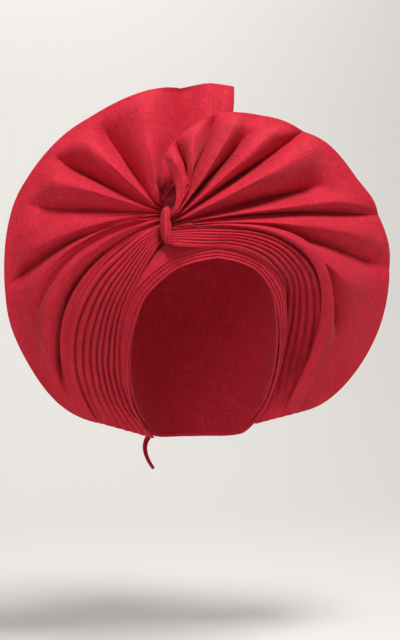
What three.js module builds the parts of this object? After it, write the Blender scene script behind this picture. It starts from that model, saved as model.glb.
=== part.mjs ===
// A tied gele head tie: a stiff cloth wound round the head, pinched into a knot over one
// temple and opened into two large pleated fans that stand as a halo round the face.
// Millimetres. The face looks along -Y, +X is to the right of someone facing the wearer, +Z is up.
// The origin is the centre of the head at the height of its widest girth.
import * as THREE from "three";
import { mergeVertices } from "three/addons/utils/BufferGeometryUtils.js";

// Head that the cloth is wound on
const HEAD_HALF_WIDTH = 70;
const HEAD_HALF_LENGTH = 90;
const HEAD_HEIGHT = 104; // from the widest girth to the top of the crown
const NAPE_DROP = 122; // from the widest girth down to the nape
const NECK_NARROWING = { width: 22, length: 34, back: 8, sway: 12 }; // sway: towards +X, as the chin turns

// Cloth
const CLOTH = 2.2; // wall of one layer of folded cloth, measured square to the sheet
const GAP = 0.6; // air between neighbouring layers

// Halo that the two fans make round the head
const HALO = { x: 2, z: 33 };
const HALO_MID_DEPTH = -12; // depth of the rim beside the ears
const HALO_LEAN = 42; // how much further forward the rim is at the top, and back at the bottom

// Fans: one row for each fold line, from the jaw round to the free end.
// clock: bearing of the rim end seen from the front, degrees; radius: from the halo's centre;
// bow: sideways bend of the line away from the face; rise: ridge (+) or valley (-);
// run: share of the line over which the fold stays deep.
const LEFT_FAN_FOLDS = [
  { clock: 239, radius: 164, bow: 46, rise: 0, run: 0.9 },
  { clock: 232, radius: 169, bow: 45, rise: -9, run: 0.9 },
  { clock: 224, radius: 171, bow: 42, rise: 7, run: 0.85 },
  { clock: 211, radius: 170, bow: 30, rise: 1, run: 0.9 },
  { clock: 198, radius: 170, bow: 18, rise: 5, run: 0.9 },
  { clock: 189, radius: 168, bow: 14, rise: -8, run: 0.95 },
  { clock: 180, radius: 167, bow: 6, rise: 4, run: 0.9 },
  { clock: 164, radius: 166, bow: 0, rise: -6, run: 0.9 },
  { clock: 155, radius: 163, bow: 0, rise: 7, run: 0.9 },
  { clock: 146, radius: 160, bow: 0, rise: -9, run: 0.92 },
  { clock: 137, radius: 157, bow: 0, rise: 7, run: 0.9 },
  { clock: 127, radius: 153, bow: 0, rise: -11, run: 0.9 },
  { clock: 112, radius: 151, bow: 0, rise: 8, run: 1 },
  { clock: 97, radius: 149, bow: 3, rise: -12, run: 1.1 },
  { clock: 88, radius: 150, bow: 11, rise: 4, run: 1.1 },
  { clock: 80, radius: 151, bow: 20, rise: 0, run: 1 },
];
const RIGHT_FAN_FOLDS = [
  { clock: -58, radius: 172, bow: 82, rise: 5, run: 1.3 },
  { clock: -53, radius: 174, bow: 79, rise: 7, run: 0.9 },
  { clock: -42, radius: 176, bow: 64, rise: -7, run: 0.85 },
  { clock: -20, radius: 177, bow: 28, rise: 7, run: 0.85 },
  { clock: -2, radius: 173, bow: 12, rise: -7, run: 1 },
  { clock: 6, radius: 170, bow: 8, rise: 4, run: 1 },
  { clock: 15, radius: 164, bow: 5, rise: -7, run: 1 },
  { clock: 20, radius: 161, bow: 2, rise: 4, run: 0.9 },
  { clock: 29, radius: 153, bow: 0, rise: -13, run: 0.84 },
  { clock: 44, radius: 145, bow: 0, rise: 8, run: 0.95 },
  { clock: 53, radius: 138, bow: 0, rise: -9, run: 1 },
  { clock: 61, radius: 134, bow: 0, rise: 8, run: 0.95 },
  { clock: 70, radius: 129, bow: 0, rise: -13, run: 0.84 },
  { clock: 78, radius: 125, bow: 0, rise: 9, run: 0.95 },
  { clock: 88, radius: 120, bow: -2, rise: -10, run: 1 },
  { clock: 101, radius: 108, bow: -4, rise: 8, run: 1 },
  { clock: 109, radius: 101, bow: -8, rise: -8, run: 1 },
  { clock: 117, radius: 93, bow: -11, rise: 7, run: 1 },
  { clock: 121, radius: 89, bow: -6, rise: 0, run: 0.8 },
];

// The innermost pleat's line: on the left it lies over the band and comes down past the band's edge at
// the jaw, and on the right it lies over the band at the forehead and goes behind it at the cheek.
// turn: degrees round the head from the face; set: how far behind the band's edge;
// lift: how far off the head.
const LEFT_RAIL = [
  { turn: 0, set: 9, lift: 13.6 },
  { turn: 28, set: 11, lift: 13.3 },
  { turn: 50, set: 10, lift: 12.7 },
  { turn: 64, set: 9, lift: 11.6 },
  { turn: 86, set: 8, lift: 11.3 },
  { turn: 98, set: 6, lift: 11 },
  { turn: 110, set: 2, lift: 10.6 },
  { turn: 128, set: -5, lift: 9 },
];
const RIGHT_RAIL = [
  { turn: 0, set: 9, lift: 13.6 },
  { turn: 28, set: 11, lift: 12.6 },
  { turn: 38, set: 15, lift: 10.7 },
  { turn: 46, set: 21, lift: 8.3 },
  { turn: 54, set: 26, lift: 6 },
  { turn: 72, set: 28, lift: 5.6 },
  { turn: 86, set: 28, lift: 7 },
  { turn: 96, set: 20, lift: 10.6 },
  { turn: 106, set: 6, lift: 12 },
  { turn: 112, set: -2, lift: 12 },
];

// Each wing's pleats run from the knot round the head to the nape, beside the fan.
// rootIn and rootOut end the short line along which all folds meet at the knot.
const LEFT_WING = {
  side: -1,
  rootIn: [-47, -77, 44],
  rootOut: [-45, -67, 78],
  rail: LEFT_RAIL,
  railTurns: [-36, -128], // where the innermost pleat starts and ends, round the head from the face
  pleats: 8,
  pleatRise: 6,
  underlap: 0.06, // how far the outermost pleat reaches behind the fan, in folds
  tuck: 5, // how far behind the fan's first fold it lies
  setBack: 26, // the left fan's top passes behind the right fan
  curl: 0,
  plunge: [4, 7, 0], // how far the folds dive back into the knot
  belly: 3,
  folds: LEFT_FAN_FOLDS,
};
const RIGHT_WING = {
  side: 1,
  rootIn: [-36, -98, 43],
  rootOut: [-38, -91, 65],
  rail: RIGHT_RAIL,
  railTurns: [-26, 112],
  pleats: 6,
  pleatRise: 5,
  underlap: 0.6,
  tuck: 0.6,
  setBack: 0,
  curl: 24, // the free end curls forward over the knot
  plunge: [-3, 11, 0],
  belly: 10,
  folds: RIGHT_FAN_FOLDS,
};
const PLEAT_ROOT_SHARE = 0.42; // share of the root line that the pleats take
const FAN_ROOT_START = 0.51;
const ROOT_UNDERLAP = 0.06; // the same reach near the knot, where the folds lie close
const PLEATED = 0.9; // share of the pleats' width that is folded; the rest is flat behind the fan
const PLUNGE_RUN = 0.12; // share of each line that dives into the knot
const BELLY_PER_BOW = 0.18; // a line that bends round the head also bulges forward
const FLAT_RIM = 0.14; // share of a fold's rise that is left at the rim
const ROOT_RISE = 0.22; // share of a fold's rise at the knot

// Forehead band: its front edge, from the forehead round to the nape, on both sides alike.
// turn: degrees round the head from the face; edge: height of the front edge.
const BAND_PATH = [
  { turn: 0, edge: 32 },
  { turn: 25, edge: 24 },
  { turn: 45, edge: 3 },
  { turn: 60, edge: -27 },
  { turn: 76, edge: -62 },
  { turn: 98, edge: -96 },
  { turn: 128, edge: -121 },
  { turn: 176, edge: -125 },
];
// Layers of the band, from its front edge inward: how far back each folded edge is set, and its height.
const BAND_LAYERS = [
  { set: 0, height: 1.6 },
  { set: 2.6, height: 2.8 },
  { set: 5.4, height: 4.0 },
  { set: 9, height: 5.2 },
];
const BAND_WIDTH = 22;
const CAP_CLEAR = 1; // between the head and the cloth over the crown
const CAP_WALL = 2;
const BAND_FOOT = CAP_CLEAR + CAP_WALL + 2 * GAP;
// Knot between the two roots, and the tie at the nape
const KNOT = { at: [-38.6, -74.6, 60], half: [3.4, 3.2, 14], flutes: 7, fluteDepth: 0.16 };
const NAPE_KNOT = { at: [11, 84, -112], half: [16, 9, 12], flutes: 9, fluteDepth: 0.1 };
const TAIL = { from: [-4.9, 84, -113], via: [-31, 70, -128], to: [-26, 60, -153] };
const TAIL_WIDTH = { start: 7, end: 2.5 };
const TAIL_WALL = 1.6;

// Steps of the faceted surfaces
const STEPS = { fold: 3, line: 13, pleat: 4, band: 42, capTurn: 30, capRise: 10, tail: 8 };
const GATHER_STEPS = { flute: 3, rise: 8 };

const RED_CLOTH = { color: 0xb4142c, roughness: 0.82, metalness: 0 };

const lerp = THREE.MathUtils.lerp;
const rad = THREE.MathUtils.degToRad;
const clamp01 = (t) => THREE.MathUtils.clamp(t, 0, 1);
const smooth = (a, b, t) => THREE.MathUtils.smoothstep(t, a, b);
const vec = (p) => new THREE.Vector3(p[0], p[1], p[2]);

// A closed solid between two grids of points, front and back, each [column][row].
function wallBetween(front, back) {
  const columns = front.length;
  const rows = front[0].length;
  const points = [...front.flat(), ...back.flat()].flatMap((p) => [p.x, p.y, p.z]);
  const at = (layer, c, r) => layer * columns * rows + c * rows + r;
  const triangles = [];
  const quad = (a, b, c, d) => triangles.push(a, b, c, a, c, d);
  for (let c = 0; c + 1 < columns; c++) {
    for (let r = 0; r + 1 < rows; r++) {
      quad(at(0, c, r), at(0, c + 1, r), at(0, c + 1, r + 1), at(0, c, r + 1));
      quad(at(1, c, r), at(1, c, r + 1), at(1, c + 1, r + 1), at(1, c + 1, r));
    }
    quad(at(0, c, 0), at(1, c, 0), at(1, c + 1, 0), at(0, c + 1, 0));
    quad(at(0, c, rows - 1), at(0, c + 1, rows - 1), at(1, c + 1, rows - 1), at(1, c, rows - 1));
  }
  for (let r = 0; r + 1 < rows; r++) {
    quad(at(0, 0, r), at(0, 0, r + 1), at(1, 0, r + 1), at(1, 0, r));
    const last = columns - 1;
    quad(at(0, last, r), at(1, last, r), at(1, last, r + 1), at(0, last, r + 1));
  }
  return facing(points, triangles);
}

// A geometry whose faces point out, whichever way round its grid was walked.
function facing(points, triangles) {
  const geometry = new THREE.BufferGeometry();
  geometry.setAttribute("position", new THREE.Float32BufferAttribute(points, 3));
  let volume = 0;
  const corner = (i) => vec(points.slice(3 * i, 3 * i + 3));
  for (let i = 0; i < triangles.length; i += 3) {
    const [a, b, c] = triangles.slice(i, i + 3).map(corner);
    volume += a.dot(b.cross(c));
  }
  geometry.setIndex(volume > 0 ? triangles : triangles.toReversed());
  return mergeVertices(geometry, 1e-4);
}

// The head's section at a height: half width, half length, and how far back and aside its centre is.
function headSection(z, offset) {
  if (z >= 0) {
    const share = Math.sqrt(Math.max(0, 1 - (z / (HEAD_HEIGHT + offset)) ** 2));
    return {
      width: (HEAD_HALF_WIDTH + offset) * share,
      length: (HEAD_HALF_LENGTH + offset) * share,
      back: 0,
      sway: 0,
    };
  }
  const share = clamp01(-z / NAPE_DROP) ** 1.6;
  return {
    width: HEAD_HALF_WIDTH + offset - NECK_NARROWING.width * share,
    length: HEAD_HALF_LENGTH + offset - NECK_NARROWING.length * share,
    back: NECK_NARROWING.back * share,
    sway: NECK_NARROWING.sway * share,
  };
}

// The point of the head at a turn from the face (radians) and a height, lifted off by an offset.
function headPoint(turn, z, offset) {
  const s = headSection(z, offset);
  return new THREE.Vector3(s.sway + s.width * Math.sin(turn), s.back - s.length * Math.cos(turn), z);
}

// A column of a table read between its rows, on a smooth curve through them.
function readBetween(rows, column, index) {
  const i = Math.min(Math.floor(index), rows.length - 2);
  const t = index - i;
  const value = (k) => rows[THREE.MathUtils.clamp(k, 0, rows.length - 1)][column];
  const [p0, p1, p2, p3] = [value(i - 1), value(i), value(i + 1), value(i + 2)];
  const slope1 = (p2 - p0) / 2;
  const slope2 = (p3 - p1) / 2;
  const t2 = t * t;
  const t3 = t2 * t;
  return (
    (2 * t3 - 3 * t2 + 1) * p1 + (t3 - 2 * t2 + t) * slope1 + (3 * t2 - 2 * t3) * p2 + (t3 - t2) * slope2
  );
}

// A point on the curve that starts at a, passes through b half way and ends at c.
function throughThree(a, b, c, t) {
  const wa = 2 * (t - 0.5) * (t - 1);
  const wb = 4 * t * (1 - t);
  const wc = 2 * t * (t - 0.5);
  return new THREE.Vector3()
    .addScaledVector(a, wa)
    .addScaledVector(b, wb)
    .addScaledVector(c, wc);
}

// Where a wing's folds meet at the knot: a share of its root line.
function rootPoint(wing, share) {
  return vec(wing.rootIn).lerp(vec(wing.rootOut), share);
}

// How far a fold line is drawn back into the knot near its root.
function plunge(wing, t) {
  return vec(wing.plunge).multiplyScalar(Math.max(0, 1 - t / PLUNGE_RUN) ** 2);
}

// The rim end of a fan's fold line.
function rimPoint(wing, clock, radius) {
  const turn = rad(clock);
  const behind = wing.setBack * Math.max(0, Math.sin(turn)) - wing.curl * smooth(72, 122, clock);
  return new THREE.Vector3(
    HALO.x + radius * Math.cos(turn),
    HALO_MID_DEPTH - HALO_LEAN * Math.sin(turn) + behind,
    HALO.z + radius * Math.sin(turn),
  );
}

// Root, middle and rim of a fan's fold line, by its place in the fold table.
function fanLine(wing, index) {
  const rows = wing.folds;
  const root = rootPoint(wing, lerp(FAN_ROOT_START, 1, index / (rows.length - 1)));
  const rim = rimPoint(wing, readBetween(rows, "clock", index), readBetween(rows, "radius", index));
  const bow = readBetween(rows, "bow", index);
  const chord = rim.clone().sub(root).setY(0).normalize();
  const outward = new THREE.Vector3(-chord.z, 0, chord.x).multiplyScalar(wing.side);
  const via = root.clone().lerp(rim, 0.5).addScaledVector(outward, bow);
  via.y -= wing.belly + BELLY_PER_BOW * Math.max(0, bow);
  return { root, via, rim };
}

// The height of the folds over a fan's sheet: round ridges and creased valleys.
function fanRise(wing, index, t) {
  const rows = wing.folds;
  const i = Math.min(Math.floor(index), rows.length - 2);
  const [a, b] = [rows[i].rise, rows[i + 1].rise];
  const share = index - i;
  const mix = a > b ? 1 - Math.cos((share * Math.PI) / 2) : Math.sin((share * Math.PI) / 2);
  const run = lerp(rows[i].run, rows[i + 1].run, share);
  const opening = lerp(ROOT_RISE, 1, smooth(0, 0.55, t));
  const closing = lerp(1, FLAT_RIM, smooth(run - 0.25, run, t));
  return lerp(a, b, mix) * opening * closing;
}

// The sheet's own direction out towards the front, from its neighbours along and across the folds.
function sheetNormal(base, a, t, side) {
  const da = 1e-2;
  const dt = 1e-3;
  const across = base(a + da, t).sub(base(a - da, t));
  const along = base(a, Math.min(1, t + dt)).sub(base(a, Math.max(0, t - dt)));
  return across.cross(along).multiplyScalar(-side).normalize();
}

// A wall of cloth over a sheet base(a, t), lifted by rise(a, t).
function foldedWall(base, rise, acrossList, alongList, side) {
  const front = [];
  const back = [];
  for (const a of acrossList) {
    const rowFront = [];
    const rowBack = [];
    for (const t of alongList) {
      const point = base(a, t);
      const normal = sheetNormal(base, a, t, side);
      const height = rise(a, t);
      rowFront.push(point.clone().addScaledVector(normal, height));
      rowBack.push(point.clone().addScaledVector(normal, height - CLOTH));
    }
    front.push(rowFront);
    back.push(rowBack);
  }
  return wallBetween(front, back);
}

// Evenly spaced values from one number to another.
function spaced(from, to, steps) {
  return Array.from({ length: steps + 1 }, (_, i) => lerp(from, to, i / steps));
}

function fanGeometry(wing) {
  const last = wing.folds.length - 1;
  const base = (a, t) => {
    const line = fanLine(wing, THREE.MathUtils.clamp(a, 0, last));
    return throughThree(line.root, line.via, line.rim, t).add(plunge(wing, t));
  };
  const rise = (a, t) => fanRise(wing, a, t);
  return foldedWall(base, rise, spaced(0, last, last * STEPS.fold), spaced(0, 1, STEPS.line), wing.side);
}

// The pleats beside a fan: the innermost lies on the band, the outermost beside the fan's first fold.
function pleatGeometry(wing) {
  const root = rootPoint(wing, PLEAT_ROOT_SHARE);
  const [from, to] = wing.railTurns;
  const base = (a, t) => {
    const turn = lerp(from, to, t);
    const size = Math.abs(turn);
    const set = readAt(wing.rail, "turn", "set", size);
    const lift = readAt(wing.rail, "turn", "lift", size);
    const rail = bandPoint(turn, set, lift);
    const inner = rootPoint(wing, 0).lerp(rail, smooth(0, 0.2, t));
    const { via, rim } = fanLine(wing, lerp(ROOT_UNDERLAP, wing.underlap, smooth(0.4, 0.6, t)));
    const outer = throughThree(root, via, rim, t);
    outer.y += wing.tuck * smooth(0, 0.15, t); // tucked behind the fan's first fold
    return inner.lerp(outer, a).add(plunge(wing, t));
  };
  const rise = (a, t) => {
    const round = Math.abs(Math.sin(Math.min(1, a / PLEATED) * wing.pleats * Math.PI)); // sharp grooves
    const opening = lerp(0.25, 1, smooth(0, 0.35, t)) * lerp(1, 0.15, smooth(0.6, 1, t));
    return wing.pleatRise * round * opening;
  };
  const across = [...spaced(0, PLEATED, wing.pleats * STEPS.pleat), 1];
  return foldedWall(base, rise, across, spaced(0, 1, STEPS.line), wing.side);
}

// A column of a table read at a value of its key column.
function readAt(rows, key, column, value) {
  const next = rows.findIndex((row) => row[key] >= value);
  if (next === 0) return rows[0][column];
  if (next < 0) return rows.at(-1)[column];
  const [low, high] = [rows[next - 1][key], rows[next][key]];
  return readBetween(rows, column, next - 1 + (value - low) / (high - low));
}

// The height of the band's front edge at a signed turn from the face, in degrees.
function bandEdge(turn) {
  return readAt(BAND_PATH, "turn", "edge", Math.abs(turn));
}

// A point of the band: its turn from the face in degrees, how far behind its edge, how far off the head.
function bandPoint(turn, set, lift) {
  const end = BAND_PATH.at(-1).turn;
  const size = Math.abs(turn);
  const drop = bandEdge(Math.max(0, size - 2)) - bandEdge(Math.min(end, size + 2));
  const steep = Math.atan2(drop, rad(4) * HEAD_HALF_WIDTH); // how far the edge runs down the head here
  const along = (set * Math.sin(steep)) / HEAD_HALF_WIDTH; // the band's width turns with its edge
  return headPoint(rad(turn) + Math.sign(turn) * along, bandEdge(turn) + set * Math.cos(steep), lift);
}

// The band's section: the foot on the cap, the stepped folded edges, then the smooth top layer.
function bandSection() {
  const section = [{ set: 0, lift: BAND_FOOT }];
  BAND_LAYERS.forEach((layer, i) => {
    section.push({ set: layer.set, lift: BAND_FOOT + layer.height });
    const next = BAND_LAYERS[i + 1];
    if (next) section.push({ set: next.set - 0.4, lift: BAND_FOOT + layer.height - 0.3 });
  });
  section.push({ set: BAND_WIDTH, lift: BAND_FOOT + CLOTH }, { set: BAND_WIDTH, lift: BAND_FOOT });
  section.push({ set: BAND_WIDTH / 2, lift: BAND_FOOT });
  return section;
}

function bandGeometry() {
  const section = bandSection();
  const end = BAND_PATH.at(-1).turn;
  const turns = spaced(-end, end, STEPS.band);
  const points = turns.flatMap((turn) => section.map(({ set, lift }) => bandPoint(turn, set, lift)));
  const n = section.length;
  const triangles = [];
  for (let i = 0; i + 1 < turns.length; i++) {
    for (let k = 0; k < n; k++) {
      const [a, b] = [i * n + k, i * n + ((k + 1) % n)];
      triangles.push(a, b, b + n, a, b + n, a + n);
    }
  }
  const lastRing = (turns.length - 1) * n;
  for (const [i, j, k] of THREE.ShapeUtils.triangulateShape(
    section.map((p) => new THREE.Vector2(p.set, p.lift)),
    [],
  )) {
    triangles.push(i, j, k, lastRing + i, lastRing + k, lastRing + j);
  }
  return facing(
    points.flatMap((p) => [p.x, p.y, p.z]),
    triangles,
  );
}

// The cloth over the crown and the back of the head, down to just inside the band's edge.
function crownGeometry() {
  const hidden = 5; // the band's front edge overhangs the crown's edge by this much
  const skin = (offset) => {
    const columns = [];
    for (const turn of spaced(-180, 180, STEPS.capTurn)) {
      const low = bandEdge(THREE.MathUtils.clamp(turn, -176, 176)) + hidden;
      const top = HEAD_HEIGHT + offset;
      const column = [];
      for (const share of spaced(0, 1, STEPS.capRise)) {
        const z = low + (top - low) * Math.sin((share * Math.PI) / 2);
        column.push(share < 1 ? headPoint(rad(turn), z, offset) : new THREE.Vector3(0, 0, top));
      }
      columns.push(column);
    }
    return columns;
  };
  return closedShell(skin(CAP_CLEAR + CAP_WALL), skin(CAP_CLEAR));
}

// A closed solid between two skins that go all the way round and meet at a top point.
function closedShell(outer, inner) {
  const columns = outer.length - 1;
  const rows = outer[0].length;
  const points = [...outer.flat(), ...inner.flat()].flatMap((p) => [p.x, p.y, p.z]);
  const at = (layer, c, r) => (layer * outer.length + (c % columns)) * rows + r;
  const top = (layer) => at(layer, 0, rows - 1);
  const triangles = [];
  const quad = (a, b, c, d) => triangles.push(a, b, c, a, c, d);
  for (let c = 0; c < columns; c++) {
    for (let r = 0; r + 2 < rows; r++) {
      quad(at(0, c, r), at(0, c + 1, r), at(0, c + 1, r + 1), at(0, c, r + 1));
      quad(at(1, c, r), at(1, c, r + 1), at(1, c + 1, r + 1), at(1, c + 1, r));
    }
    triangles.push(at(0, c, rows - 2), at(0, c + 1, rows - 2), top(0));
    triangles.push(at(1, c, rows - 2), top(1), at(1, c + 1, rows - 2));
    quad(at(0, c, 0), at(1, c, 0), at(1, c + 1, 0), at(0, c + 1, 0));
  }
  return facing(points, triangles);
}

// A small bundle of gathered cloth: an egg with lengthwise flutes.
function gatherGeometry({ half, flutes, fluteDepth }) {
  const egg = new THREE.SphereGeometry(1, flutes * GATHER_STEPS.flute, GATHER_STEPS.rise);
  egg.deleteAttribute("normal");
  egg.deleteAttribute("uv");
  const position = egg.getAttribute("position");
  for (let i = 0; i < position.count; i++) {
    const p = new THREE.Vector3().fromBufferAttribute(position, i);
    const around = Math.atan2(p.z, p.x);
    const flute = 1 - fluteDepth * (0.5 + 0.5 * Math.cos(around * flutes));
    position.setXYZ(i, p.x * flute * half[0], p.z * flute * half[1], p.y * half[2]);
  }
  const merged = mergeVertices(egg, 1e-4);
  return facing([...merged.getAttribute("position").array], [...merged.index.array]);
}

// A tie end: a narrow strip of cloth that tapers along its line.
function tailGeometry({ from, via, to }) {
  const front = [];
  const back = [];
  for (const t of spaced(0, 1, STEPS.tail)) {
    const point = throughThree(vec(from), vec(via), vec(to), t);
    const next = throughThree(vec(from), vec(via), vec(to), t + 1e-3);
    const along = next.sub(point).normalize();
    const out = new THREE.Vector3(point.x, point.y, 0).normalize();
    const across = along.clone().cross(out).normalize();
    const face = across.clone().cross(along).normalize();
    const half = lerp(TAIL_WIDTH.start, TAIL_WIDTH.end, t) / 2;
    const edges = [-half, 0, half].map((w) => point.clone().addScaledVector(across, w));
    edges[1].addScaledVector(face, 1.2);
    front.push(edges.map((p) => p.clone().addScaledVector(face, TAIL_WALL / 2)));
    back.push(edges.map((p) => p.clone().addScaledVector(face, -TAIL_WALL / 2)));
  }
  return wallBetween(front, back);
}

function cloth(name, geometry, at = [0, 0, 0]) {
  const mesh = new THREE.Mesh(geometry, new THREE.MeshStandardMaterial(RED_CLOTH));
  mesh.name = name;
  mesh.position.set(at[0], at[1], at[2]);
  return mesh;
}

const headTie = new THREE.Group();
headTie.name = "gele_head_tie";
headTie.add(
  cloth("crown_wrap", crownGeometry()),
  cloth("forehead_band", bandGeometry()),
  cloth("left_pleats", pleatGeometry(LEFT_WING)),
  cloth("left_fan", fanGeometry(LEFT_WING)),
  cloth("right_pleats", pleatGeometry(RIGHT_WING)),
  cloth("right_fan", fanGeometry(RIGHT_WING)),
  cloth("knot", gatherGeometry(KNOT), KNOT.at),
  cloth("nape_knot", gatherGeometry(NAPE_KNOT), NAPE_KNOT.at),
  cloth("nape_tail", tailGeometry(TAIL)),
);

export default headTie;
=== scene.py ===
"""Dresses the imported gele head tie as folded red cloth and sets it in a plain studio.

Lengths in the tables are millimetres, in the part's own frame: the front looks along -Y, +X is to the
right as it is seen from the front and +Z is up. Meshes are made in metres.
"""

import logging
import math
from dataclasses import dataclass
from enum import Enum
from typing import Any, Callable, Mapping, Sequence, Union

import bpy
import numpy as np
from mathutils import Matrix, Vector


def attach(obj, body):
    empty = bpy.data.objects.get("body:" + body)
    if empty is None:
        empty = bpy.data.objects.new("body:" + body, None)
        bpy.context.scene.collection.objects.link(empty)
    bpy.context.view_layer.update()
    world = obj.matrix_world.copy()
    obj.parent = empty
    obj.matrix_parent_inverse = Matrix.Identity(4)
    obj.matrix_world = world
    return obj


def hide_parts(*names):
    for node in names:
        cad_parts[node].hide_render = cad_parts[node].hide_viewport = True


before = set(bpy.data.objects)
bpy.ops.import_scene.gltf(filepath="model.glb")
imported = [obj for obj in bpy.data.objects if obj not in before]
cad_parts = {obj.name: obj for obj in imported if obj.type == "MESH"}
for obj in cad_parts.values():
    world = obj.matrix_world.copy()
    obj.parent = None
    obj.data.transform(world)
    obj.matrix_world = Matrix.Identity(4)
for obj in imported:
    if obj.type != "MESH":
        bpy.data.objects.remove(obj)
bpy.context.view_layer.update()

MM = 0.001
LOG = logging.getLogger("gele")

Grid = np.ndarray
Number = Union[float, Grid]
Point = tuple[float, float, float]
Span = tuple[float, float]
Color = tuple[float, float, float]

FRONT = np.array([0.0, -1.0, 0.0])
STEP_ACROSS = 1e-2
STEP_ALONG = 1e-3
SHARP_ANGLE = math.radians(58.0)

# A Mix node's sockets for colours: its two inputs and its result.
MIX_A, MIX_B, MIX_RESULT = 6, 7, 2


class Hold(Enum):
    """How a sheet of cloth is kept in its shape."""

    FOLDED = "folded"
    GATHERED = "gathered"
    STRETCHED = "stretched"


def smooth(low: Number, high: Number, value: Grid) -> Grid:
    """Eases from 0 to 1 between two values.

    Args:
        low: where the rise starts.
        high: where it ends.
        value: what is eased.

    Returns:
        The eased share.
    """
    t = np.clip((value - low) / (high - low), 0.0, 1.0)
    return t * t * (3.0 - 2.0 * t)


def lerp(a: Any, b: Any, t: Any) -> Any:
    """Goes from a to b.

    Args:
        a: the value at 0.
        b: the value at 1.
        t: the share.

    Returns:
        The value between them.
    """
    return a + (b - a) * t


def read_between(values: Sequence[float], index: Grid) -> Grid:
    """Reads a table's column between its rows, on a smooth curve through them.

    Args:
        values: the column.
        index: fractional row numbers.

    Returns:
        The column's values there.
    """
    column = np.asarray(values, dtype=float)
    last = len(column) - 1
    i = np.clip(np.floor(index).astype(int), 0, last - 1)
    t = index - i
    p0, p1, p2, p3 = (column[np.clip(i + k, 0, last)] for k in (-1, 0, 1, 2))
    slope1, slope2 = (p2 - p0) / 2.0, (p3 - p1) / 2.0
    t2, t3 = t * t, t * t * t
    leaving = (2 * t3 - 3 * t2 + 1) * p1 + (t3 - 2 * t2 + t) * slope1
    return leaving + (3 * t2 - 2 * t3) * p2 + (t3 - t2) * slope2


def read_at(keys: Sequence[float], values: Sequence[float], key: Grid) -> Grid:
    """Reads a table's column at values of its key column.

    Args:
        keys: the key column, rising.
        values: the column to read.
        key: where to read it.

    Returns:
        The column's values there.
    """
    return read_between(values, np.interp(key, keys, np.arange(len(keys))))


def through_three(a: Grid, b: Grid, c: Grid, t: Grid) -> Grid:
    """Follows the curve that starts at a, passes b half way and ends at c.

    Args:
        a: start points.
        b: middle points.
        c: end points.
        t: share of the way.

    Returns:
        Points on the curve.
    """
    s = np.asarray(t)[..., None]
    return a * (2 * (s - 0.5) * (s - 1)) + b * (4 * s * (1 - s)) + c * (2 * s * (s - 0.5))


def unit(vectors: Grid) -> Grid:
    """Scales vectors to length one.

    Args:
        vectors: the last axis holds x, y and z.

    Returns:
        The unit vectors.
    """
    return vectors / np.maximum(np.linalg.norm(vectors, axis=-1, keepdims=True), 1e-9)


@dataclass(frozen=True)
class Ripple:
    """A wave over a sheet, in radians for each step across and along it."""

    across: float
    along: float

    def at(self, a: Number, t: Number) -> Grid:
        """Reads the wave.

        Args:
            a: place across.
            t: place along.

        Returns:
            Values from -1 to 1.
        """
        return np.sin(a * self.across + t * self.along)


@dataclass(frozen=True)
class InnerForm:
    """The rounded form inside the winding, which the wrapped pieces follow.

    The taper values are how far it has narrowed, moved back and swayed at nape_drop below its middle.
    """

    half_width: float = 70.0
    half_length: float = 90.0
    height: float = 104.0
    nape_drop: float = 122.0
    taper_width: float = 22.0
    taper_length: float = 34.0
    taper_back: float = 8.0
    taper_sway: float = 12.0
    taper_power: float = 1.6

    def point(self, turn: Grid, z: Grid, offset: Grid) -> Grid:
        """Finds points of the form.

        Args:
            turn: radians round it from the front.
            z: heights.
            offset: how far off the form.

        Returns:
            The points.
        """
        turn, z, offset = np.broadcast_arrays(turn, z, offset)
        above = np.sqrt(np.clip(1.0 - (z / (self.height + offset)) ** 2, 0.0, 1.0))
        below = np.clip(-z / self.nape_drop, 0.0, 1.0) ** self.taper_power
        upper = z >= 0
        wide, long = self.half_width + offset, self.half_length + offset
        width = np.where(upper, wide * above, wide - self.taper_width * below)
        length = np.where(upper, long * above, long - self.taper_length * below)
        back = np.where(upper, 0.0, self.taper_back * below)
        sway = np.where(upper, 0.0, self.taper_sway * below)
        return np.stack([sway + width * np.sin(turn), back - length * np.cos(turn), z], axis=-1)


@dataclass(frozen=True)
class BandPath:
    """The forehead band's front edge, from its middle round to the nape, on both sides alike."""

    form: InnerForm = InnerForm()
    turns: tuple[float, ...] = (0, 25, 45, 60, 76, 98, 128, 176)
    edges: tuple[float, ...] = (32, 24, 3, -27, -62, -96, -121, -125)
    slope_step: float = 2.0

    def edge(self, turn: Grid) -> Grid:
        """Reads the height of the front edge.

        Args:
            turn: signed degrees from the front.

        Returns:
            The heights.
        """
        return read_at(self.turns, self.edges, np.abs(turn))

    def point(self, turn: Grid, behind: Grid, lift: Grid) -> Grid:
        """Finds points of the band.

        Args:
            turn: signed degrees from the front.
            behind: how far behind the front edge.
            lift: how far off the form.

        Returns:
            The points.
        """
        size = np.abs(turn)
        nearer = np.maximum(size - self.slope_step, 0)
        farther = np.minimum(size + self.slope_step, self.turns[-1])
        run = math.radians(2 * self.slope_step) * self.form.half_width
        steep = np.arctan2(self.edge(nearer) - self.edge(farther), run)
        along = behind * np.sin(steep) / self.form.half_width
        height = self.edge(turn) + behind * np.cos(steep)
        return self.form.point(np.radians(turn) + np.sign(turn) * along, height, lift)


@dataclass(frozen=True)
class Fold:
    """One fold line of a fan, from the knot to the rim.

    clock is the rim end's bearing seen from the front in degrees, radius its distance from the halo's
    centre, bow the line's bend away from the opening, rise its ridge or valley, and run the share of the
    line over which it stays deep.
    """

    clock: float
    radius: float
    bow: float
    rise: float
    run: float


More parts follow.
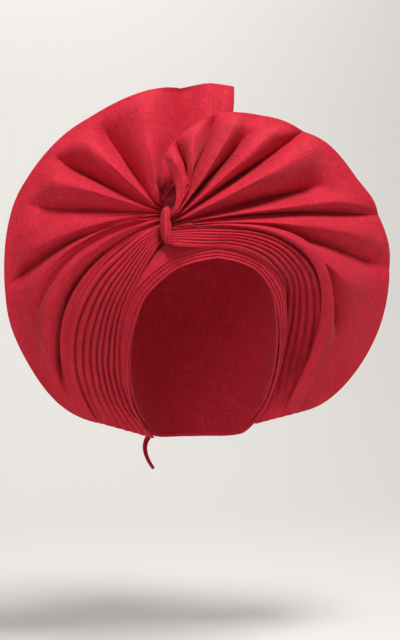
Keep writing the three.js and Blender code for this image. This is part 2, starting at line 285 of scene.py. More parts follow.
LEFT_FOLDS = (
    Fold(239, 164, 46, 0, 0.9),
    Fold(232, 169, 45, -9, 0.9),
    Fold(224, 171, 42, 7, 0.85),
    Fold(211, 170, 30, 1, 0.9),
    Fold(198, 170, 18, 5, 0.9),
    Fold(189, 168, 14, -8, 0.95),
    Fold(180, 167, 6, 4, 0.9),
    Fold(164, 166, 0, -6, 0.9),
    Fold(155, 163, 0, 7, 0.9),
    Fold(146, 160, 0, -9, 0.92),
    Fold(137, 157, 0, 7, 0.9),
    Fold(127, 153, 0, -11, 0.9),
    Fold(112, 151, 0, 8, 1),
    Fold(97, 149, 3, -12, 1.1),
    Fold(88, 150, 11, 4, 1.1),
    Fold(80, 151, 20, 0, 1),
)
RIGHT_FOLDS = (
    Fold(-58, 156, 82, 5, 1.3),
    Fold(-53, 167, 79, 7, 0.9),
    Fold(-42, 176, 64, -7, 0.85),
    Fold(-20, 177, 28, 7, 0.85),
    Fold(-2, 173, 12, -7, 1),
    Fold(6, 170, 8, 4, 1),
    Fold(15, 164, 5, -7, 1),
    Fold(20, 161, 2, 4, 0.9),
    Fold(29, 153, 0, -13, 0.84),
    Fold(44, 145, 0, 8, 0.95),
    Fold(53, 138, 0, -9, 1),
    Fold(61, 134, 0, 8, 0.95),
    Fold(70, 129, 0, -13, 0.84),
    Fold(78, 125, 0, 9, 0.95),
    Fold(88, 120, -2, -10, 1),
    Fold(101, 108, -4, 8, 1),
    Fold(109, 101, -8, -8, 1),
    Fold(117, 93, -11, 7, 1),
    Fold(121, 89, -6, 0, 0.8),
)


@dataclass(frozen=True)
class Wing:
    """One side of the tie: folds that meet at the knot, pleats down the side and the fan beyond them.

    The root values are the folds' line at the knot, the rail values the pleats' line on the band, and the
    halo values the circle that the rim follows. Spans and runs are shares of the way from knot to rim.
    """

    side: int
    root_in: Point
    root_out: Point
    rail_turns: Span
    rail_turn: tuple[float, ...]
    rail_set: tuple[float, ...]
    rail_lift: tuple[float, ...]
    pleats: int
    pleat_rise: float
    set_back: float
    curl: float
    belly: float
    tuck: float
    underlap: float
    underlap_span: Span
    rolled_edge: float
    plunge: Point
    folds: tuple[Fold, ...]
    halo_x: float = 2.0
    halo_z: float = 33.0
    halo_depth: float = -12.0
    halo_lean: float = 42.0
    belly_per_bow: float = 0.18
    curl_clocks: Span = (72.0, 122.0)
    pleat_root_share: float = 0.5
    fan_root_start: float = 0.51
    relief: float = 1.35
    flat_rim: float = 0.07
    pocket_end: float = 0.18
    longer_run: float = 0.04
    crisp_root: float = 0.8
    crisp_rim: float = 0.1
    crisp_span: Span = (0.12, 0.6)
    root_rise: float = 0.22
    opening_run: float = 0.55
    rolled_folds: Span = (4.0, 2.0)
    rolled_delay: float = 0.2
    plunge_run: float = 0.12
    root_underlap: float = 0.15
    pleated: float = 0.9

    def column(self, name: str, index: Grid) -> Grid:
        """Reads a column of the fold table.

        Args:
            name: the column.
            index: fractional fold numbers.

        Returns:
            The values.
        """
        return read_between([getattr(fold, name) for fold in self.folds], index)

    def root(self, share: Grid) -> Grid:
        """Finds where folds meet at the knot.

        Args:
            share: share of the root line.

        Returns:
            The points.
        """
        return lerp(np.array(self.root_in), np.array(self.root_out), np.asarray(share)[..., None])

    def fan_line(self, index: Grid) -> tuple[Grid, Grid, Grid]:
        """Finds the root, middle and rim of fold lines.

        Args:
            index: fractional fold numbers.

        Returns:
            Three arrays of points.
        """
        last = len(self.folds) - 1
        index = np.clip(index, 0, last)
        clock = self.column("clock", index)
        radius = self.column("radius", index)
        bow = self.column("bow", index)
        turn = np.radians(clock)
        shift = self.set_back * np.maximum(np.sin(turn), 0.0) - self.curl * smooth(*self.curl_clocks, clock)
        rim = np.stack(
            [
                self.halo_x + radius * np.cos(turn),
                self.halo_depth - self.halo_lean * np.sin(turn) + shift,
                self.halo_z + radius * np.sin(turn),
            ],
            axis=-1,
        )
        root = self.root(lerp(self.fan_root_start, 1.0, index / last))
        chord = unit((rim - root) * np.array([1.0, 0.0, 1.0]))
        outward = self.side * np.stack([-chord[..., 2], np.zeros_like(bow), chord[..., 0]], axis=-1)
        via = (root + rim) / 2 + outward * bow[..., None]
        via[..., 1] -= self.belly + self.belly_per_bow * np.maximum(bow, 0.0)
        return root, via, rim

    def dive(self, t: Grid) -> Grid:
        """Works out how far fold lines are drawn back into the knot.

        Args:
            t: share of the way from the knot to the rim.

        Returns:
            The shifts.
        """
        return np.array(self.plunge) * (np.maximum(0.0, 1 - t / self.plunge_run) ** 2)[..., None]

    def rolled(self, index: Grid) -> Grid:
        """Works out how far folds belong to the rolled free edge.

        Args:
            index: fractional fold numbers.

        Returns:
            Shares from 0 to 1.
        """
        last = len(self.folds) - 1
        first, full = self.rolled_folds
        return smooth(last - first, last - full, index) * self.rolled_edge

    def fan_rise(self, index: Grid, t: Grid) -> Grid:
        """Works out the height of the fan's folds: crisp ridges near the knot, rounder ones near the rim.

        Args:
            index: fractional fold numbers.
            t: share of the way from the knot to the rim.

        Returns:
            The heights.
        """
        rises = np.array([fold.rise for fold in self.folds], dtype=float)
        runs = np.array([fold.run for fold in self.folds], dtype=float)
        i = np.clip(np.floor(index).astype(int), 0, len(rises) - 2)
        share = index - i
        a, b = rises[i], rises[i + 1]
        quarter = share * math.pi / 2
        slow, fast = 1 - np.cos(quarter), np.sin(quarter)
        crisp = lerp(self.crisp_root, self.crisp_rim, smooth(*self.crisp_span, t))
        mix = np.where(a > b, lerp(slow, fast, crisp), lerp(fast, slow, crisp))
        run = lerp(runs[i], runs[i + 1], share) + self.longer_run
        rolled = self.rolled(index)
        delay = self.rolled_delay * rolled
        opening = lerp(self.root_rise * (1 - rolled), 1.0, smooth(delay, self.opening_run + delay, t))
        closing = lerp(1.0, self.flat_rim, smooth(run - self.pocket_end, run, t))
        return lerp(a, b, mix) * opening * closing * self.relief


LEFT_WING = Wing(
    side=-1,
    root_in=(-47, -77, 44),
    root_out=(-45, -67, 78),
    rail_turns=(-36, -125),
    rail_turn=(0, 28, 50, 64, 86, 98, 110, 128),
    rail_set=(9, 11, 10, 9, 8, 6, 2, -5),
    rail_lift=(13.6, 13.3, 12.7, 11.6, 11.3, 11, 10.6, 9),
    pleats=8,
    pleat_rise=6.0,
    set_back=26,
    curl=0,
    belly=3,
    tuck=1.5,
    underlap=0.8,
    underlap_span=(0.05, 0.25),
    rolled_edge=0.0,
    plunge=(4, 7, 0),
    folds=LEFT_FOLDS,
)
RIGHT_WING = Wing(
    side=1,
    root_in=(-36, -98, 43),
    root_out=(-38, -91, 65),
    rail_turns=(-26, 112),
    rail_turn=(0, 28, 38, 46, 54, 72, 86, 96, 106, 112),
    rail_set=(9, 11, 15, 21, 26, 28, 28, 20, 6, -2),
    rail_lift=(13.6, 12.6, 10.7, 8.3, 6, 5.6, 7, 10.6, 12, 12),
    pleats=6,
    pleat_rise=5.0,
    set_back=0,
    curl=24,
    belly=10,
    tuck=0.6,
    underlap=1.2,
    underlap_span=(0.35, 0.6),
    rolled_edge=1.0,
    plunge=(-3, 11, 0),
    folds=RIGHT_FOLDS,
)


@dataclass(frozen=True)
class ClothFinish:
    """Colours and surface of the red cloth, in linear light; streaks and blotches are counted per metre."""

    name: str = "red_cloth"
    shade: Color = (0.36, 0.006, 0.016)
    light: Color = (0.62, 0.021, 0.048)
    tone_shift: float = 1.05
    roughness: float = 0.82
    roughness_spread: float = 0.12
    sheen: float = 0.12
    sheen_roughness: float = 0.45
    sheen_tint: Color = (1.0, 0.30, 0.36)
    specular: float = 0.22
    slub_length: float = 60.0
    slub_width: float = 780.0
    slub_detail: float = 2.0
    slub_contrast: float = 2.6
    blotch: float = 28.0
    blotch_detail: float = 3.0
    blotch_contrast: float = 0.5
    thread: float = 3800.0
    thread_relief: float = 0.18
    bump: float = 0.35
    bump_depth: float = 0.0006


@dataclass(frozen=True)
class StageFinish:
    """The plain pale floor."""

    name: str = "pale_floor"
    color: Color = (0.80, 0.78, 0.75)
    roughness: float = 0.85


class Sock:
    """A shader value that arithmetic can be done on; each operation adds its node."""

    def __init__(self, graph: "Graph", socket: bpy.types.NodeSocket) -> None:
        """Wraps a node's output.

        Args:
            graph: the node tree's wrapper.
            socket: the output.
        """
        self.graph = graph
        self.socket = socket

    def _math(self, operation: str, a: Any, b: Any) -> "Sock":
        """Adds a Math node.

        Args:
            operation: what it does.
            a: first value.
            b: second value.

        Returns:
            Its output.
        """
        return self.graph.node("ShaderNodeMath", {"operation": operation}, {0: a, 1: b})

    def __add__(self, other: Any) -> "Sock":
        """Adds a value.

        Args:
            other: a number or another output.

        Returns:
            The sum.
        """
        return self._math("ADD", self, other)

    __radd__ = __add__

    def __mul__(self, other: Any) -> "Sock":
        """Multiplies by a value.

        Args:
            other: a number or another output.

        Returns:
            The product.
        """
        return self._math("MULTIPLY", self, other)

    __rmul__ = __mul__

    def __sub__(self, other: Any) -> "Sock":
        """Takes a value away.

        Args:
            other: a number or another output.

        Returns:
            The difference.
        """
        return self._math("SUBTRACT", self, other)

    def __rsub__(self, other: Any) -> "Sock":
        """Is taken away from a value.

        Args:
            other: a number.

        Returns:
            The difference.
        """
        return self._math("SUBTRACT", other, self)

    def sine(self) -> "Sock":
        """Takes the sine.

        Returns:
            The sine.
        """
        return self._math("SINE", self, 0.0)


class Graph:
    """A material's node tree."""

    def __init__(self, name: str) -> None:
        """Makes an empty material.

        Args:
            name: its name.
        """
        self.material = bpy.data.materials.new(name)
        self.material.use_nodes = True
        self.tree = self.material.node_tree
        self.tree.nodes.clear()

    def node(
        self, kind: str, settings: Mapping[str, Any], inputs: Mapping[Union[int, str], Any], output: Any = 0
    ) -> Sock:
        """Adds a node of any type.

        Args:
            kind: its type.
            settings: its properties.
            inputs: values or outputs for its inputs.
            output: which output is wanted.

        Returns:
            That output.
        """
        made = self.tree.nodes.new(kind)
        for key, value in settings.items():
            setattr(made, key, value)
        for key, value in inputs.items():
            if isinstance(value, Sock):
                self.tree.links.new(value.socket, made.inputs[key])
            else:
                made.inputs[key].default_value = value
        return Sock(self, made.outputs[output])

    def mix(self, factor: Any, a: Sequence[float], b: Sequence[float]) -> Sock:
        """Mixes two colours.

        Args:
            factor: share of the second.
            a: first colour.
            b: second colour.

        Returns:
            The mixed colour.
        """
        return self.node(
            "ShaderNodeMix",
            {"data_type": "RGBA"},
            {"Factor": factor, MIX_A: (*a, 1.0), MIX_B: (*b, 1.0)},
            MIX_RESULT,
        )

    def finish(self, shader: Sock) -> bpy.types.Material:
        """Connects the shader to the material's output.

        Args:
            shader: the surface shader.

        Returns:
            The material.
        """
        output = self.tree.nodes.new("ShaderNodeOutputMaterial")
        self.tree.links.new(shader.socket, output.inputs["Surface"])
        return self.material


def cloth_material(finish: ClothFinish) -> bpy.types.Material:
    """Makes the red cloth: a plain weave with uneven threads, seen along the cloth's own length and width.

    Args:
        finish: colours and sizes.

    Returns:
        The material.
    """
    graph = Graph(finish.name)
    coordinates = graph.node("ShaderNodeTexCoord", {}, {}, "UV")

    def stretched(across: float, along: float, detail: float) -> Sock:
        """Makes uneven streaks along one thread direction.

        Args:
            across: repeats per metre across the cloth.
            along: repeats per metre along it.
            detail: fineness of the noise.

        Returns:
            The streaks, from 0 to 1.
        """
        scale = (across, along, 1.0)
        mapped = graph.node("ShaderNodeMapping", {}, {"Vector": coordinates, "Scale": scale})
        return graph.node("ShaderNodeTexNoise", {}, {"Vector": mapped, "Scale": 1.0, "Detail": detail}, 0)

    warp = stretched(finish.slub_width, finish.slub_length, finish.slub_detail)
    weft = stretched(finish.slub_length, finish.slub_width, finish.slub_detail)
    blotch = stretched(finish.blotch, finish.blotch, finish.blotch_detail)
    split = graph.node("ShaderNodeSeparateXYZ", {}, {"Vector": coordinates})
    across = Sock(graph, split.socket.node.outputs["X"])
    along = Sock(graph, split.socket.node.outputs["Y"])
    threads = (across * finish.thread).sine() * (along * finish.thread).sine()
    slubs = warp * 0.5 + weft * 0.5
    tone = slubs * finish.slub_contrast + blotch * finish.blotch_contrast - finish.tone_shift
    color = graph.mix(tone, finish.shade, finish.light)
    height = slubs + threads * finish.thread_relief
    normal = graph.node(
        "ShaderNodeBump",
        {},
        {"Height": height, "Strength": finish.bump, "Distance": finish.bump_depth},
    )
    rough = slubs * finish.roughness_spread + (finish.roughness - finish.roughness_spread / 2)
    shader = graph.node(
        "ShaderNodeBsdfPrincipled",
        {},
        {
            "Base Color": color,
            "Roughness": rough,
            "Normal": normal,
            "Specular IOR Level": finish.specular,
            "Sheen Weight": finish.sheen,
            "Sheen Roughness": finish.sheen_roughness,
            "Sheen Tint": (*finish.sheen_tint, 1.0),
        },
    )
    return graph.finish(shader)


def floor_material(finish: StageFinish) -> bpy.types.Material:
    """Makes the pale floor's material.

    Args:
        finish: its colour.

    Returns:
        The material.
    """
    graph = Graph(finish.name)
    shader = graph.node(
        "ShaderNodeBsdfPrincipled",
        {},
        {"Base Color": (*finish.color, 1.0), "Roughness": finish.roughness},
    )
    return graph.finish(shader)


def lengths(points: Grid, axis: int) -> Grid:
    """Adds up the distance along a grid's lines.

    Args:
        points: the grid.
        axis: along which axis.

    Returns:
        The distances from the first line.
    """
    steps = np.linalg.norm(np.diff(points, axis=axis), axis=-1)
    start = np.zeros_like(np.take(steps, [0], axis=axis))
    return np.cumsum(np.concatenate([start, steps], axis=axis), axis=axis)


def make_object(
    name: str, points: Grid, faces: Grid, weave: Grid, material: bpy.types.Material
) -> bpy.types.Object:
    """Makes a smooth mesh object with the weave's own coordinates.

    Args:
        name: the object's name.
        points: corners in millimetres.
        faces: corner numbers of each face.
        weave: each corner's place on the flat cloth, in millimetres.
        material: its material.

    Returns:
        The object.
    """
    mesh = bpy.data.meshes.new(name)
    mesh.from_pydata((points * MM).tolist(), [], faces.tolist())
    layer = mesh.uv_layers.new(name="weave")
    corners = np.empty(len(mesh.loops), dtype=np.int64)
    mesh.loops.foreach_get("vertex_index", corners)
    layer.data.foreach_set("uv", (weave[corners] * MM).astype(np.float32).ravel())
    mesh.materials.append(material)
    mesh.shade_smooth()
    mesh.set_sharp_from_angle(angle=SHARP_ANGLE)
    mesh.validate()
    made = bpy.data.objects.new(name, mesh)
    bpy.context.scene.collection.objects.link(made)
    return made


def wall_faces(columns: int, rows: int, ring: bool = False) -> Grid:
    """Numbers the faces of a closed wall between two grids.

    Args:
        columns: columns in each grid.
        rows: rows in each grid.
        ring: whether the last column joins the first.

    Returns:
        The faces.
    """
    number = np.arange(2 * columns * rows).reshape(2, columns, rows)
    if ring:
        number = np.concatenate([number, number[:, :1]], axis=1)
    front, back = number
    faces = [
        np.stack([front[:-1, :-1], front[1:, :-1], front[1:, 1:], front[:-1, 1:]], axis=-1).reshape(-1, 4),
        np.stack([back[:-1, :-1], back[:-1, 1:], back[1:, 1:], back[1:, :-1]], axis=-1).reshape(-1, 4),
        np.stack([front[:-1, 0], back[:-1, 0], back[1:, 0], front[1:, 0]], axis=-1),
        np.stack([front[:-1, -1], front[1:, -1], back[1:, -1], back[:-1, -1]], axis=-1),
    ]
    if not ring:
        faces.append(np.stack([front[0, :-1], front[0, 1:], back[0, 1:], back[0, :-1]], axis=-1))
        faces.append(np.stack([front[-1, :-1], back[-1, :-1], back[-1, 1:], front[-1, 1:]], axis=-1))
    return np.concatenate(faces)


def outward_faces(points: Grid, faces: Grid) -> Grid:
    """Turns all faces over if they point into the solid.

    Args:
        points: the corners.
        faces: the faces.

    Returns:
        The faces, pointing out.
    """
    a, b, c, d = (points[faces[:, k]] for k in range(4))
    volume = sum(np.einsum("ij,ij->i", a, np.cross(*pair)).sum() for pair in ((b, c), (c, d)))
    return faces if volume > 0 else faces[:, ::-1]


@dataclass
class ClothPiece:
    """A piece of the cloth: it is built, then takes the place of its imported part.

    flat is its width and length laid open, in metres, and wall the thickness of the cloth.
    """

    name: str
    material: bpy.types.Material
    flat: Span
    hold: Hold
    rests_on: tuple[str, ...]
    wall: float = 1.3

    def shape(self) -> tuple[Grid, Grid, bool]:
        """Works out the front and back of the wall.

        Returns:
            Two grids of points, and whether they join up into a ring.
        """
        raise NotImplementedError

    def build(self) -> bpy.types.Object:
        """Makes the piece's mesh.

        Returns:
            The object.
        """
        front, back, ring = self.shape()
        columns, rows = front.shape[:2]
        points = np.concatenate([front.reshape(-1, 3), back.reshape(-1, 3)])
        faces = outward_faces(points, wall_faces(columns, rows, ring))
        along = lengths(front, 1)
        across = np.broadcast_to(lengths(front, 0).max(axis=1, keepdims=True), along.shape)
        weave = np.stack([across, along], axis=-1).reshape(-1, 2)
        both = np.concatenate([weave, weave])
        return make_object(f"{self.name}_cloth", points, faces, both, self.material)

    def dress(self) -> bpy.types.Object:
        """Returns:
            The object.
        """
        made = self.build()
        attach(made, "root")
        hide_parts(self.name)
        list(self.rests_on)
        return made


def sheet_normal(base: Callable[[Grid, Grid], Grid], a: Grid, t: Grid, side: int) -> Grid:
    """Finds a sheet's direction out towards the front.

    Args:
        base: the sheet.
        a: places across the folds.
        t: places along the folds.
        side: which wing it belongs to.

    Returns:
        Unit vectors.
    """
    across = base(a + STEP_ACROSS, t) - base(a - STEP_ACROSS, t)
    along = base(a, np.minimum(t + STEP_ALONG, 1.0)) - base(a, np.maximum(t - STEP_ALONG, 0.0))
    return unit(np.cross(across, along) * -side)


@dataclass
class FanPiece(ClothPiece):
    """A fan: cloth opened from the knot to the rim."""

    wing: Wing = LEFT_WING
    per_fold: int = 14
    rows: int = 110
    gather: float = 1.1
    gather_start: Span = (0.02, 0.12)
    gather_end: Span = (0.25, 0.75)
    gathers_per_fold: float = 1.5
    gather_sway: float = 1.7
    sway_beat: float = 1.9
    wave: float = 0.9
    wave_span: Span = (0.2, 0.7)
    waves: tuple[Ripple, Ripple] = (Ripple(2.1, 5.0), Ripple(0.7, 4.1))
    hem: float = 0.0
    hem_edge: Span = (8.2, 9.4)
    fold_spread: float = 20.0
    rim_hem: float = 0.5
    rim_hem_edge: Span = (0.972, 0.98)
    level_span: Span = (0.6, 1.0)

    def detail(self, a: Grid, t: Grid) -> Grid:
        """Adds the small gathers near the knot, soft waves and the hems of the rim and the free end.

        Args:
            a: fold numbers.
            t: share of the way to the rim.

        Returns:
            Heights to add.
        """
        near = smooth(*self.gather_start, t) * (1 - smooth(*self.gather_end, t))
        near = near * (1 - self.wing.rolled(a))
        sway = self.gather_sway * np.sin(a * self.sway_beat)
        fine = self.gather * near * np.sin(a * 2 * math.pi * self.gathers_per_fold + sway)
        first, second = self.waves
        wave = self.wave * smooth(*self.wave_span, t) * first.at(a, t) * second.at(a, t)
        from_end = (len(self.wing.folds) - 1 - a) * self.fold_spread * t
        end_hem = self.hem * (1 - smooth(*self.hem_edge, from_end))
        rim_hem = self.rim_hem * smooth(*self.rim_hem_edge, t)
        return fine + wave + end_hem + rim_hem

    def shape(self) -> tuple[Grid, Grid, bool]:
        """Works out the fan's front and back.

        Returns:
            Two grids of points, not a ring.
        """
        last = len(self.wing.folds) - 1
        across = np.linspace(0, last, last * self.per_fold + 1)
        a, t = np.meshgrid(across, np.linspace(0, 1, self.rows + 1), indexing="ij")

        def base(index: Grid, share: Grid) -> Grid:
            """Finds points of the unfolded fan.

            Args:
                index: fold numbers.
                share: share of the way to the rim.

            Returns:
                The points.
            """
            return through_three(*self.wing.fan_line(index), share) + self.wing.dive(share)

        normal = sheet_normal(base, a, t, self.wing.side)
        height = self.wing.fan_rise(a, t) + self.detail(a, t)
        toward = unit(lerp(normal, FRONT, smooth(*self.level_span, t)[..., None]))
        front = base(a, t) + toward * height[..., None]
        return front, front - normal * self.wall, False


@dataclass
class PleatPiece(ClothPiece):
    """The pleats beside a fan, from the knot down the side to the nape."""

    wing: Wing = LEFT_WING
    path: BandPath = BandPath()
    sink: Span = (4.0, 8.0)
    sink_span: Span = (0.75, 1.0)
    join_run: float = 0.2
    tuck_run: float = 0.15
    drift: float = 0.010
    drifts: Ripple = Ripple(11.0, 3.0)
    roundness: float = 0.62
    uneven: float = 0.16
    unevenness: Ripple = Ripple(2.3, 4.0)
    root_rise: float = 0.25
    opening_run: float = 0.35
    nape_rise: float = 0.15
    closing_span: Span = (0.6, 1.0)
    per_pleat: int = 18
    rows: int = 140

    def shape(self) -> tuple[Grid, Grid, bool]:
        """Works out the pleats' front and back.

        Returns:
            Two grids of points, not a ring.
        """
        wing = self.wing
        root = wing.root(np.array(wing.pleat_root_share))
        across = np.linspace(0, 1, wing.pleats * self.per_pleat + 1)
        a, t = np.meshgrid(across, np.linspace(0, 1, self.rows + 1), indexing="ij")

        def base(share: Grid, along: Grid) -> Grid:
            """Finds points of the unpleated sheet.

            Args:
                share: from the band to the fan.
                along: from the knot to the nape.

            Returns:
                The points.
            """
            turn = lerp(*wing.rail_turns, along)
            size = np.abs(turn)
            behind = read_at(wing.rail_turn, wing.rail_set, size)
            lift = read_at(wing.rail_turn, wing.rail_lift, size)
            sunk = lerp(*self.sink, smooth(*self.sink_span, along))
            rail = self.path.point(turn, behind, lift - sunk)
            joined = smooth(0.0, self.join_run, along)[..., None]
            inner = lerp(wing.root(np.zeros_like(along)), rail, joined)
            lap = smooth(*wing.underlap_span, along)
            _, via, rim = wing.fan_line(lerp(wing.root_underlap, wing.underlap, lap))
            outer = through_three(root, via, rim, along)
            outer[..., 1] += wing.tuck * smooth(0.0, self.tuck_run, along)
            return lerp(inner, outer, share[..., None]) + wing.dive(along)

        drifted = a + self.drift * self.drifts.at(a, t) * np.sin(a * math.pi)
        count = np.minimum(1.0, drifted / wing.pleated) * wing.pleats
        groove = np.abs(np.sin(count * math.pi)) ** self.roundness
        uneven = 1 - self.uneven * (0.5 + 0.5 * self.unevenness.at(np.floor(count), t))
        opening = lerp(self.root_rise, 1.0, smooth(0.0, self.opening_run, t))
        closing = lerp(1.0, self.nape_rise, smooth(*self.closing_span, t))
        height = wing.pleat_rise * groove * uneven * (opening * closing)
        normal = sheet_normal(base, a, t, wing.side)
        front = base(a, t) + normal * height[..., None]
        return front, front - normal * self.wall, False


@dataclass
class CrownPiece(ClothPiece):
    """The cloth over the crown and down the back."""

    wall: float = 1.8
    path: BandPath = BandPath()
    clear: float = 1.0
    hidden: float = 5.0
    columns: int = 200
    rows: int = 80
    top_share: float = 0.995
    folds: int = 9
    fold_rise: float = 2.6
    fold_slant: float = 1.4
    fold_turns: Span = (40.0, 120.0)
    fold_start: Span = (0.12, 0.3)
    fold_end: Span = (0.75, 0.97)
    roundness: float = 0.7
    lean: Point = (1.0, 0.7, 0.5)

    def shape(self) -> tuple[Grid, Grid, bool]:
        """Works out the outer and inner skin.

        Returns:
            Two grids of points that join up into a ring.
        """
        form = self.path.form
        around = np.linspace(-180, 180, self.columns, endpoint=False)
        up = np.linspace(0, self.top_share, self.rows + 1)
        turn, share = np.meshgrid(around, up, indexing="ij")
        nape = self.path.turns[-1]
        low = self.path.edge(np.clip(turn, -nape, nape)) + self.hidden

        def skin(offset: float) -> Grid:
            """Finds points of a skin.

            Args:
                offset: how far off the form.

            Returns:
                The points.
            """
            top = form.height + offset
            z = low + (top - low) * np.sin(share * math.pi / 2)
            return form.point(np.radians(turn), z, np.full_like(z, offset))

        behind = smooth(*self.fold_turns, np.abs(turn))
        slant = share * self.folds + self.fold_slant * np.cos(np.radians(turn))
        ridge = np.abs(np.sin(slant * math.pi)) ** self.roundness
        lift = self.fold_rise * ridge * behind * smooth(*self.fold_start, share)
        lift = lift * (1 - smooth(*self.fold_end, share))
        outer = skin(self.clear + self.wall)
        outer = outer + unit(outer * np.array(self.lean)) * lift[..., None]
        return outer, skin(self.clear), True


@dataclass
class BandPiece(ClothPiece):
    """The stacked folds of the forehead band."""

    path: BandPath = BandPath()
    foot: float = 4.2
    layer_set: tuple[float, ...] = (0.0, 2.6, 5.4, 9.0)
    layer_height: tuple[float, ...] = (1.6, 2.8, 4.0, 5.2)
    width: float = 22.0
    lip: float = 0.62
    lip_arc: Span = (1.15, 0.5)
    lip_steps: int = 7
    drift: float = 0.27
    drifts: Ripple = Ripple(0.045, 1.9)
    front_set: float = 0.5
    crease_set: float = 0.1
    crease_drop: float = 0.35
    middle_drop: float = 0.9
    back_lift: float = 2.0
    inner_set: float = 0.7
    inner_drop: float = 0.2
    columns: int = 260
    end: float = 180.0

    def section(self, turn: float) -> list[tuple[float, float]]:
        """Works out the outer line of the band's section, from the front foot to the back foot.

        Args:
            turn: signed degrees from the front.

        Returns:
            Pairs of distance behind the edge and lift.
        """
        line = [(self.front_set, self.foot)]
        for k, (start, height) in enumerate(zip(self.layer_set, self.layer_height)):
            centre_set = start + self.drift * k * self.drifts.at(turn, k) + self.lip
            centre_lift = self.foot + height - self.lip
            for step in range(self.lip_steps + 1):
                angle = math.pi * lerp(*self.lip_arc, step / self.lip_steps)
                line.append(
                    (centre_set + self.lip * math.cos(angle), centre_lift + self.lip * math.sin(angle))
                )
            if k + 1 < len(self.layer_set):
                crease = self.layer_set[k + 1] - self.crease_set
                line.append((crease, self.foot + height - self.crease_drop))
        middle = (self.layer_set[-1] + self.width) / 2
        line.append((middle, self.foot + self.layer_height[-1] - self.middle_drop))
        line.append((self.width, self.foot + self.back_lift))
        return line

    def shape(self) -> tuple[Grid, Grid, bool]:
        """Works out the band's outer and inner side.

        Returns:
            Two grids of points, not a ring.
        """
        turns = np.linspace(-self.end, self.end, self.columns + 1)
        outer = np.array([self.section(float(turn)) for turn in turns])
        spread = np.broadcast_to(turns[:, None], outer.shape[:2])
        front = self.path.point(spread, outer[..., 0], outer[..., 1])
        inner = np.broadcast_to(np.linspace(self.inner_set, self.width, outer.shape[1]), spread.shape)
        back = self.path.point(spread, inner, np.full(spread.shape, self.foot - self.inner_drop))
        return front, back, False


@dataclass
class GatherPiece(ClothPiece):
    """A small bundle of gathered cloth."""

    at: Point = (0, 0, 0)
    half: Point = (1, 1, 1)
    least_half: float = 0.4
    flutes: int = 7
    flute_depth: float = 0.16
    flute_sharpness: float = 1.6
    flute_twist: float = 0.5
    pole: float = 0.03
    columns: int = 112
    rows: int = 48

    def shape(self) -> tuple[Grid, Grid, bool]:
        """Works out the bundle's outside and its hollow inside.

        Returns:
            Two grids of points that join up into a ring.
        """
        around, up = np.meshgrid(
            np.linspace(0, 2 * math.pi, self.columns, endpoint=False),
            np.linspace(self.pole, math.pi - self.pole, self.rows + 1),
            indexing="ij",
        )
        twisted = around * self.flutes + self.flute_twist * np.cos(up)
        flute = 1 - self.flute_depth * (0.5 + 0.5 * np.cos(twisted)) ** self.flute_sharpness

        def skin(shrink: float) -> Grid:
            """Finds points of a skin.

            Args:
                shrink: how much smaller than the outside.

            Returns:
                The points.
            """
            half = np.maximum(np.array(self.half) - shrink, self.least_half)
            reach = np.sin(up) * flute
            direction = np.stack([reach * np.cos(around), reach * np.sin(around), np.cos(up)], axis=-1)
            return np.array(self.at) + direction * half

        return skin(0.0), skin(self.wall), True


@dataclass
class TailPiece(ClothPiece):
    """The one end of the tie that hangs below the nape knot."""

    start: Point = (-3.5, 83.5, -113)
    via: Point = (-31, 70, -128)
    end: Point = (-26, 60, -153)
    width_start: float = 7.0
    width_end: float = 2.5
    crown: float = 1.2
    crease: float = 0.4
    crease_beat: float = 6.0
    columns: int = 60
    rows: int = 16

    def shape(self) -> tuple[Grid, Grid, bool]:
        """Works out the strip's two faces.

        Returns:
            Two grids of points, not a ring.
        """
        t = np.linspace(0, 1, self.columns + 1)
        ends = (np.array(self.start), np.array(self.via), np.array(self.end))
        line = through_three(*ends, t)
        along = unit(through_three(*ends, t + STEP_ALONG) - line)
        out = unit(line * np.array([1.0, 1.0, 0.0]))
        across = unit(np.cross(along, out))
        face = unit(np.cross(across, along))
        share = np.linspace(-1, 1, self.rows + 1)
        half = lerp(self.width_start, self.width_end, t) / 2
        flat = line[:, None] + across[:, None] * (half[:, None] * share)[..., None]
        rise = self.crown * (1 - np.abs(share)) + self.crease * np.sin(share * self.crease_beat)
        front = flat + face[:, None] * (rise + self.wall / 2)[None, :, None]
        return front, front - face[:, None] * self.wall, False


@dataclass(frozen=True)
class Lamp:
    """A soft square light: its place, what it points at and its side in metres, and its power in watts."""

    name: str
    place: Point
    aim: Point
    size: float
    power: float


TIE_CENTRE = (0.0, 0.0, 0.03)
LAMPS = (
    Lamp("key", (0.12, -0.95, 1.3), TIE_CENTRE, 0.45, 30.0),
    Lamp("fill", (-1.1, -1.2, 0.0), TIE_CENTRE, 0.9, 4.5),
    Lamp("wash", (0.0, 0.75, 1.5), (0.0, 1.7, 0.2), 1.2, 13.0),
)


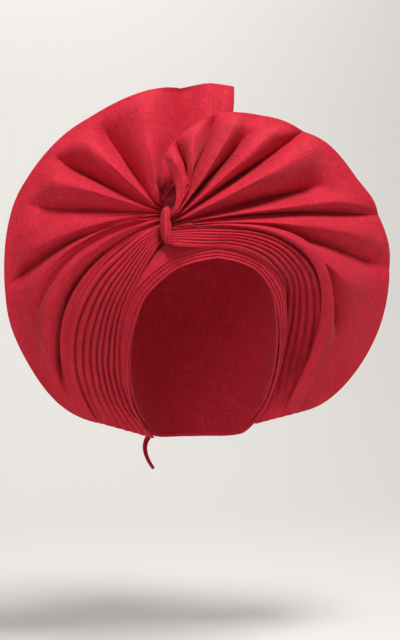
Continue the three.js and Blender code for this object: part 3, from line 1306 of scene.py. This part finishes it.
@dataclass(frozen=True)
class Studio:
    """A pale floor, soft lights and the camera at the photograph's viewing angle, in metres and degrees."""

    floor_z: float = -0.33
    half: float = 5.0
    wall_y: float = 1.7
    sweep: float = 0.8
    sweep_steps: int = 24
    azimuth: float = -12.0
    distance: float = 1.1
    shift: Span = (0.00435, -0.0174)
    focal_pixels: float = 1264.4
    image_height: int = 640
    sensor: float = 36.0
    air_color: Color = (0.86, 0.85, 0.83)
    air_strength: float = 0.2

    def floor(self) -> bpy.types.Object:
        """Lays the pale floor, which sweeps up into a backdrop.

        Returns:
            The floor.
        """
        bend = np.linspace(0, math.pi / 2, self.sweep_steps + 1)
        deep = self.wall_y - self.sweep + self.sweep * np.sin(bend)
        high = self.floor_z + self.sweep - self.sweep * np.cos(bend)
        line = [(-self.half, self.floor_z), *zip(deep, high), (self.wall_y, self.half)]
        points = [(x, float(y), float(z)) for y, z in line for x in (-self.half, self.half)]
        faces = [(2 * i, 2 * i + 1, 2 * i + 3, 2 * i + 2) for i in range(len(line) - 1)]
        mesh = bpy.data.meshes.new("floor")
        mesh.from_pydata(points, [], faces)
        mesh.polygons.foreach_set("use_smooth", [True] * len(faces))
        mesh.materials.append(floor_material(StageFinish()))
        made = bpy.data.objects.new("floor", mesh)
        bpy.context.scene.collection.objects.link(made)
        return made

    def light(self, lamp: Lamp) -> bpy.types.Object:
        """Hangs a light.

        Args:
            lamp: the light's values.

        Returns:
            The light.
        """
        data = bpy.data.lights.new(lamp.name, "AREA")
        data.size = lamp.size
        data.energy = lamp.power
        made = bpy.data.objects.new(lamp.name, data)
        made.location = lamp.place
        made.rotation_mode = "QUATERNION"
        made.rotation_quaternion = (Vector(lamp.aim) - Vector(lamp.place)).to_track_quat("-Z", "Y")
        bpy.context.scene.collection.objects.link(made)
        return made

    def camera(self) -> bpy.types.Object:
        """Sets up the camera.

        Returns:
            The camera.
        """
        a = math.radians(self.azimuth)
        back = Vector((math.sin(a), -math.cos(a), 0.0))
        right = Vector((math.cos(a), math.sin(a), 0.0))
        data = bpy.data.cameras.new("camera")
        data.sensor_width = self.sensor
        data.lens = self.focal_pixels * self.sensor / self.image_height
        data.dof.use_dof = False
        made = bpy.data.objects.new("camera", data)
        made.location = back * self.distance + right * self.shift[0] + Vector((0, 0, self.shift[1]))
        made.rotation_mode = "QUATERNION"
        made.rotation_quaternion = (-back).to_track_quat("-Z", "Y")
        bpy.context.scene.collection.objects.link(made)
        bpy.context.scene.camera = made
        return made

    def build(self) -> None:
        """Makes the whole studio."""
        self.floor()
        for lamp in LAMPS:
            self.light(lamp)
        self.camera()
        world = bpy.data.worlds.new("studio")
        world.use_nodes = True
        background = world.node_tree.nodes["Background"]
        background.inputs["Color"].default_value = (*self.air_color, 1.0)
        background.inputs["Strength"].default_value = self.air_strength
        bpy.context.scene.world = world
        bpy.context.scene.view_settings.view_transform = "Standard"


def head_tie(material: bpy.types.Material) -> list[ClothPiece]:
    """Lists the pieces of the head tie.

    Args:
        material: the cloth's material.

    Returns:
        The pieces.
    """
    folded, gathered = Hold.FOLDED, Hold.GATHERED
    on_band, on_crown = ("forehead_band",), ("crown_wrap",)
    left, right = LEFT_WING, RIGHT_WING
    knot: dict[str, Any] = {"at": (-39.5, -79, 59), "half": (5.5, 8.5, 15)}
    nape: dict[str, Any] = {"at": (11, 82.5, -112), "half": (16, 9, 12), "flutes": 9, "flute_depth": 0.1}
    return [
        CrownPiece("crown_wrap", material, (0.34, 0.24), Hold.STRETCHED, on_band),
        BandPiece("forehead_band", material, (0.03, 0.66), folded, on_crown),
        PleatPiece("left_pleats", material, (0.068, 0.24), folded, on_band, wing=left),
        FanPiece(
            "left_fan", material, (0.22, 0.185), gathered, ("left_pleats", "knot"), wing=left, hem=0.9
        ),
        PleatPiece("right_pleats", material, (0.065, 0.27), folded, on_band, wing=right),
        FanPiece("right_fan", material, (0.27, 0.22), gathered, ("right_pleats", "knot"), wing=right),
        GatherPiece("knot", material, (0.03, 0.035), gathered, on_crown, **knot),
        GatherPiece("nape_knot", material, (0.04, 0.05), gathered, on_crown, **nape),
        TailPiece("nape_tail", material, (0.01, 0.055), gathered, ("nape_knot",)),
    ]


def main() -> None:
    """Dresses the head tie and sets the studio."""
    logging.basicConfig(level=logging.INFO, format="%(name)s %(message)s")
    material = cloth_material(ClothFinish())
    for piece in head_tie(material):
        made = piece.dress()
        area = sum(polygon.area for polygon in made.data.polygons)
        LOG.info("%s: %d faces, %.4f m2 of surface", made.name, len(made.data.polygons), area)
    Studio().build()


if __name__ == "__main__":
    main()
